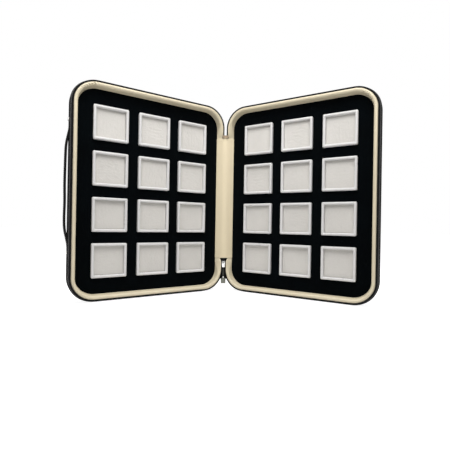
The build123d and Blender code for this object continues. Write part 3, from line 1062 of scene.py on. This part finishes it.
def repeat_along(piece, rail, count, pitch):
    """Repeats a small piece along a guide and bends the row to it."""
    modify(piece, "ARRAY", fit_type="FIXED_COUNT", count=count, use_relative_offset=False,
           use_constant_offset=True, constant_offset_displace=(pitch, 0, 0))
    bend_along(piece, rail)


THREAD, THREAD_EDGE = 0.26 * MM, 0.14 * MM  # its radius and the rounding of a stitch's ends


def stitch_row(name, rail, run, offset, z, pitch=2.8 * MM, margin=2 * MM):
    """A row of sewn stitches beside a guide, each a part of the pitch long."""
    stitch = begin(name, "cylinder", at=(margin + pitch * 0.35, offset, z), vertices=8,
                   radius=THREAD, depth=pitch * 0.72, rotation=(0, QUARTER, 0))
    soften(stitch, THREAD_EDGE, 1, 60)
    repeat_along(stitch, rail, int((run - 2 * margin) / pitch), pitch)
    smooth(stitch, 70)
    return stitch


def refined(node, name, edge, segments):
    """A merged copy of a CAD node with its edges rounded."""
    twin = copied(frame["nodes"][node], name)
    twin.parent = None
    twin.matrix_world = Matrix.Identity(4)
    for key in list(twin.keys()):
        del twin[key]
    with editing(twin, "SELECT"):
        bpy.ops.mesh.remove_doubles(threshold=0.002 * MM)
        bpy.ops.mesh.dissolve_limited(angle_limit=math.radians(1))
    soften(twin, edge, segments, 35)
    smooth(twin, 50)
    return twin


class CASE_OT_zip(bpy.types.Operator):
    """Sew the zip tapes and teeth round three sides of each half, and their joined end"""
    bl_idname = "coin_case.zip"
    bl_label = "Zip"

    # across the tape: (out of the collar, below its stitched edge), in millimetres
    SECTION = ((0.3, 0), (0.34, 2.6), (0.7, 3.6), (0.95, 4.15), (1, 4.7))
    WAVE = 0.06 * MM
    # half a tooth's size along, down and out, and the rounding of its edges
    TOOTH, TOOTH_EDGE = (0.66 * MM, 0.55 * MM, 0.74 * MM), 0.2 * MM
    # the tape's seam: out of the mouth's outline, and below the tape's edge
    SEAM_OUT, SEAM_DOWN = 0.5 * MM, 1.1 * MM
    # the shell's seam: the pitch of its stitches, how deep they sink in, and below the ledge
    HEM_PITCH, HEM_SUNK, HEM_DOWN = 3.2 * MM, 0.2 * MM, 2.6 * MM
    BODY_OUT = 0.3 * MM  # how far the body's spine wall stands out of the collar's

    def execute(self, context):
        case, zipper = settings().case, settings().zip
        line = outline(case.spine_wall, case.spine_wall + case.collar_width,
                       case.collar_height / 2, case.collar_corner, zipper.bare_corner)
        rail, run = guide(line), route_length(line)
        section = [Vector((out * MM, zipper.tape_top + down * MM)) for out, down in self.SECTION]
        tape_width = route_length(section)
        tape = begin("zip_tape", "grid", at=(run / 2, 0, 0), size=(run / 2, 1, 1),
                     x_subdivisions=440, y_subdivisions=10)
        for corner in tape.data.uv_layers[0].data:
            corner.uv = (corner.uv.x * run, corner.uv.y * tape_width)

        def hang(point):
            place, _ = point_along(section, (1 - point.y) / 2 * tape_width)
            wave = self.WAVE * ripple_on(point.x, point.y * 3 * MM, 0.009, 17)
            return Vector((point.x, -place.x - wave, -place.y))

        move_points(tape, hang)
        bend_along(tape, rail)
        modify(tape, "SOLIDIFY", thickness=zipper.tape_thickness, offset=0)
        smooth(tape, 60)

        tooth = begin("zip_teeth", "cylinder", size=self.TOOTH, vertices=8, radius=1, depth=2,
                      at=(zipper.pitch / 2, -zipper.teeth_out, -zipper.teeth_depth),
                      rotation=(QUARTER, 0, 0))
        soften(tooth, self.TOOTH_EDGE, 1, 60)
        repeat_along(tooth, rail, int(run / zipper.pitch), zipper.pitch)
        smooth(tooth, 70)

        seam = stitch_row("zip_seam", rail, run, -self.SEAM_OUT, -zipper.tape_top - self.SEAM_DOWN)
        discard(rail)
        line = outline(case.spine_wall - self.BODY_OUT,
                       case.spine_wall + case.collar_width + case.ledge_width,
                       case.collar_height / 2 + case.ledge_width, case.shell_corner,
                       math.radians(24))
        rail = guide(line)
        hem = stitch_row("shell_seam", rail, route_length(line), self.HEM_SUNK,
                         -case.ledge - self.HEM_DOWN, pitch=self.HEM_PITCH)
        discard(rail)
        patterns = ((tape, "tape", "black_tape", "zip_tape"),
                    (tooth, "teeth", "black_coil", "zip_coil"),
                    (seam, "thread", "black_tape", None),
                    (hem, "thread", "black_leatherette", None))
        for half, side in HALVES.items():
            for pattern, finish, slot, node in patterns:
                piece = lay(copied(pattern, f"{pattern.name}_{half}"), side)
                nodes = [f"{half}_{node}"] if node else []
                finish_piece(piece, finish, f"{half}_half", slot, *nodes)
        for pattern, *_ in patterns:
            discard(pattern)
        end = refined("zip_end_tape", "zip_end", edge=0.12 * MM, segments=2)
        # painted shade: the joined end takes the darker copy of the tape
        finish_piece(end, "end_tape", "zip_end", "black_tape", "zip_end_tape")
        return {"FINISHED"}


class CASE_OT_slider(bpy.types.Operator):
    """Cast the zip's slider and hang its pull"""
    bl_idname = "coin_case.slider"
    bl_label = "Slider and Pull"

    # half the bead's size, and its middle behind the pull's front and above its lower end
    BEAD, BEAD_BACK, BEAD_RISE = (1.2 * MM, 0.6 * MM, 1.5 * MM), 0.1 * MM, 11 * MM
    # the slider's body narrows by so much towards its lower end, below a part of its height
    NARROWING, STRAIGHT = 0.34, 0.3

    def execute(self, context):
        slider = refined("zip_slider", "slider_body", edge=0.24 * MM, segments=3)
        low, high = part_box("zip_slider")

        def taper(point):
            aside, drop = point.x - FOLD.x, (high.z - point.z) / (high.z - low.z)
            if abs(aside) > MM:
                aside *= 1 - self.NARROWING * max(0, drop - self.STRAIGHT) ** 1.2
            return Vector((FOLD.x + aside, point.y, point.z))

        move_points(slider, taper)
        finish_piece(slider, "slider", "slider", "silver_zinc", "zip_slider")
        pull_low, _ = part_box("zip_pull")
        bead = begin("pull_bead", "uv_sphere", size=self.BEAD, segments=20, ring_count=12, radius=1,
                     at=(FOLD.x, pull_low.y + self.BEAD_BACK, pull_low.z + self.BEAD_RISE))
        smooth(bead, 40)
        # painted highlight: the bead of the pull's grey zinc takes the slider's bright silver
        finish_piece(bead, "slider", "pull", "grey_zinc")
        pull = refined("zip_pull", "zip_pull_tab", edge=0.28 * MM, segments=3)
        finish_piece(pull, "pull", "pull", "grey_zinc", "zip_pull")
        return {"FINISHED"}


class CASE_OT_handle(bpy.types.Operator):
    """Rivet the strap handle to the left half"""
    bl_idname = "coin_case.handle"
    bl_label = "Strap Handle"

    # (distance from the fold line, height) of the strap's middle in millimetres, downwards
    ROUTE = ((243.15, 103.5), (243.15, 95), (243.15, 86), (245.3, 76), (247.6, 63), (248, 48),
             (248.3, 27), (248.5, 6), (247.9, -17), (248.5, -39), (247.9, -55), (245.3, -66.5),
             (243.15, -77), (243.15, -86), (243.15, -93.5))
    CUTS = 90
    CORNER, EDGE = 2.6 * MM, 0.45 * MM  # rounding of the strap's ends and of its edges
    SEAM, SEAM_END = 3.4 * MM, 9 * MM  # from the strap's middle, and from its ends
    RIVETS = (98 * MM, -88 * MM)  # their heights
    DOME_INSET, DOME_ROUND = 0.45 * MM, 0.7 * MM

    def execute(self, context):
        handle = settings().handle
        rail = guide([Vector(point) * MM for point in self.ROUTE], "NURBS")
        drawn = rail.to_mesh()
        run = route_length([point.co.copy() for point in drawn.vertices])
        rail.to_mesh_clear()
        half_run, half_thick, half_wide = run / 2, handle.thickness / 2, handle.width / 2
        strap = begin("strap_handle", "cube", at=(half_run, 0, -handle.depth),
                      size=(half_run, half_thick, half_wide))
        with editing(strap):
            pick(strap, "EDGE", lambda edge: runs_along(edge, 1))
            bevel(self.CORNER, 5)
        soften(strap, self.EDGE, 3, 50)
        for step in range(1, self.CUTS):
            with editing(strap, "SELECT"):
                bpy.ops.mesh.bisect(plane_co=(run * step / self.CUTS, 0, 0), plane_no=(1, 0, 0))
        bend_along(strap, rail)
        smooth(strap, 50)
        finish_piece(lay(strap, HALVES["left"]), "strap", "left_half", "black_strap",
                     "handle_strap")
        rows = [stitch_row("strap_seam", rail, run, half_thick, -handle.depth + offset,
                           margin=self.SEAM_END) for offset in (-self.SEAM, self.SEAM)]
        seams = lay(joined(rows, "strap_seams"), HALVES["left"])
        finish_piece(seams, "thread", "left_half", "black_strap")
        discard(rail)

        wall = self.ROUTE[0][0] * MM + half_thick
        rivets = []
        for height in self.RIVETS:
            rivet = begin("rivet", "cylinder", at=(0, 0, handle.dome / 2), vertices=40,
                          radius=handle.rivet / 2, depth=handle.dome)
            with editing(rivet):
                pick(rivet, "FACE", lambda face: face.normal.z > 0.9)
                bpy.ops.mesh.inset(thickness=self.DOME_INSET, depth=0)
                bevel(self.DOME_ROUND, 6)
            rivet.data.transform(Matrix.Rotation(QUARTER, 4, "Y"))
            rivet.data.transform(Matrix.Translation((wall, height, -handle.depth)))
            rivets.append(rivet)
        domes = joined(rivets, "strap_rivets")
        smooth(domes, 40)
        finish_piece(lay(domes, HALVES["left"]), "rivet", "left_half", "nickel_rivet",
                     "handle_rivets")
        return {"FINISHED"}


def seen_by(tree, first, *rays):
    """1 for rays of the kinds that are named, 0 for all others."""
    path = tree.nodes.new("ShaderNodeLightPath")
    seen = path.outputs[f"Is {first} Ray"]
    for ray in rays:
        seen = calculate(tree, "MAXIMUM", seen, path.outputs[f"Is {ray} Ray"])
    return seen


def mix_surface(tree, output, factor, first, second):
    """Mixes two shaders into an output node's surface."""
    mixed = add(tree, "ShaderNodeMixShader", {0: factor, 1: first, 2: second})
    put(tree, tree.nodes[output].inputs["Surface"], mixed.outputs[0])


class CASE_OT_stage(bpy.types.Operator):
    """Set the floor, the soft light and the camera"""
    bl_idname = "coin_case.stage"
    bl_label = "Stage"

    # (name, place, what it lights, size, watts)
    LAMPS = (("skylight", (0, -0.05, 1.1), (0, 0, 0.16), (1, 0.6), 4.6),
             ("window", (0, -0.3, 0.75), (0, 0, 0.16), (0.7, 0.35), 3.1),
             ("lamp_above", (0, -0.3, 0.5), (0, 0, 0.2), (0.6, 0.2), 1.12))
    CAMERA = Vector((-7.05 * MM, -563.65 * MM, -46.37 * MM))  # from the fold line's middle
    CAMERA_TURN = (90.13778, -0.96709, -0.88694)  # in degrees

    def execute(self, context):
        floor = begin("floor", "plane", size=(6, 6, 1))
        white = Finish("pale_floor", (0.86, 0.86, 0.86), 0.9, Specular_IOR_Level=0.1)
        tree, plain = white.tree, white.shader.outputs[0]
        glow = add(tree, "ShaderNodeEmission", {"Strength": 0.94})
        both = add(tree, "ShaderNodeAddShader", {0: plain, 1: glow.outputs[0]})
        mix_surface(tree, "Material Output", seen_by(tree, "Camera", "Glossy", "Transmission"),
                    plain, both.outputs[0])
        floor.data.materials.append(white.material)

        world = bpy.data.worlds.new("studio")
        context.scene.world = world
        world.use_nodes = True
        tree = world.node_tree
        backdrop = tree.nodes["Background"]
        backdrop.inputs["Color"].default_value = (1, 1, 1, 1)
        soft = add(tree, "ShaderNodeBackground", {"Color": (0.96, 0.98, 1, 1), "Strength": 0.09})
        mix_surface(tree, "World Output", seen_by(tree, "Camera", "Transmission"),
                    soft.outputs[0], backdrop.outputs[0])

        for name, at, towards, size, watts in self.LAMPS:
            deselect()
            bpy.ops.object.light_add(type="AREA", location=at)
            light = context.active_object
            light.name = name
            light.data.shape = "RECTANGLE"
            light.data.size, light.data.size_y = size
            light.data.energy = watts
            light.data.color = (1, 0.99, 0.98)
            ahead = Vector(towards) - Vector(at)
            light.rotation_euler = ahead.to_track_quat("-Z", "Y").to_euler()

        deselect()
        bpy.ops.object.camera_add(location=FOLD + self.CAMERA,
                                  rotation=[math.radians(angle) for angle in self.CAMERA_TURN])
        camera = context.active_object
        camera.data.lens, camera.data.sensor_width = 26, 36
        camera.data.clip_start = 0.01
        context.scene.camera = camera
        context.scene.view_settings.view_transform = "Standard"
        return {"FINISHED"}


OPERATORS = (CASE_OT_shells, CASE_OT_rims, CASE_OT_trays, CASE_OT_pads, CASE_OT_spine, CASE_OT_zip,
             CASE_OT_slider, CASE_OT_handle, CASE_OT_stage)


class CASE_PT_panel(bpy.types.Panel):
    """Lists the pieces of the coin display case in the order in which they are made"""
    bl_idname = "CASE_PT_panel"
    bl_label = "Coin Display Case"
    bl_space_type = "VIEW_3D"
    bl_region_type = "UI"
    bl_category = "Coin Case"

    def draw(self, context):
        for operator in OPERATORS:
            self.layout.operator(operator.bl_idname)
        for name, group in GROUPS.items():
            box = self.layout.box()
            box.label(text=name.title())
            for field in group.__annotations__:
                box.prop(getattr(context.scene.coin_case, name), field)


CLASSES = (*GROUPS.values(), CoinCase, *OPERATORS, CASE_PT_panel)


def register():
    for item in CLASSES:
        bpy.utils.register_class(item)
    bpy.types.Scene.coin_case = PointerProperty(type=CoinCase)


def unregister():
    del bpy.types.Scene.coin_case
    for item in reversed(CLASSES):
        bpy.utils.unregister_class(item)


def main():
    register()
    for operator in OPERATORS:
        getattr(bpy.ops.coin_case, operator.bl_idname.split(".")[1])()


if __name__ == "__main__":
    main()
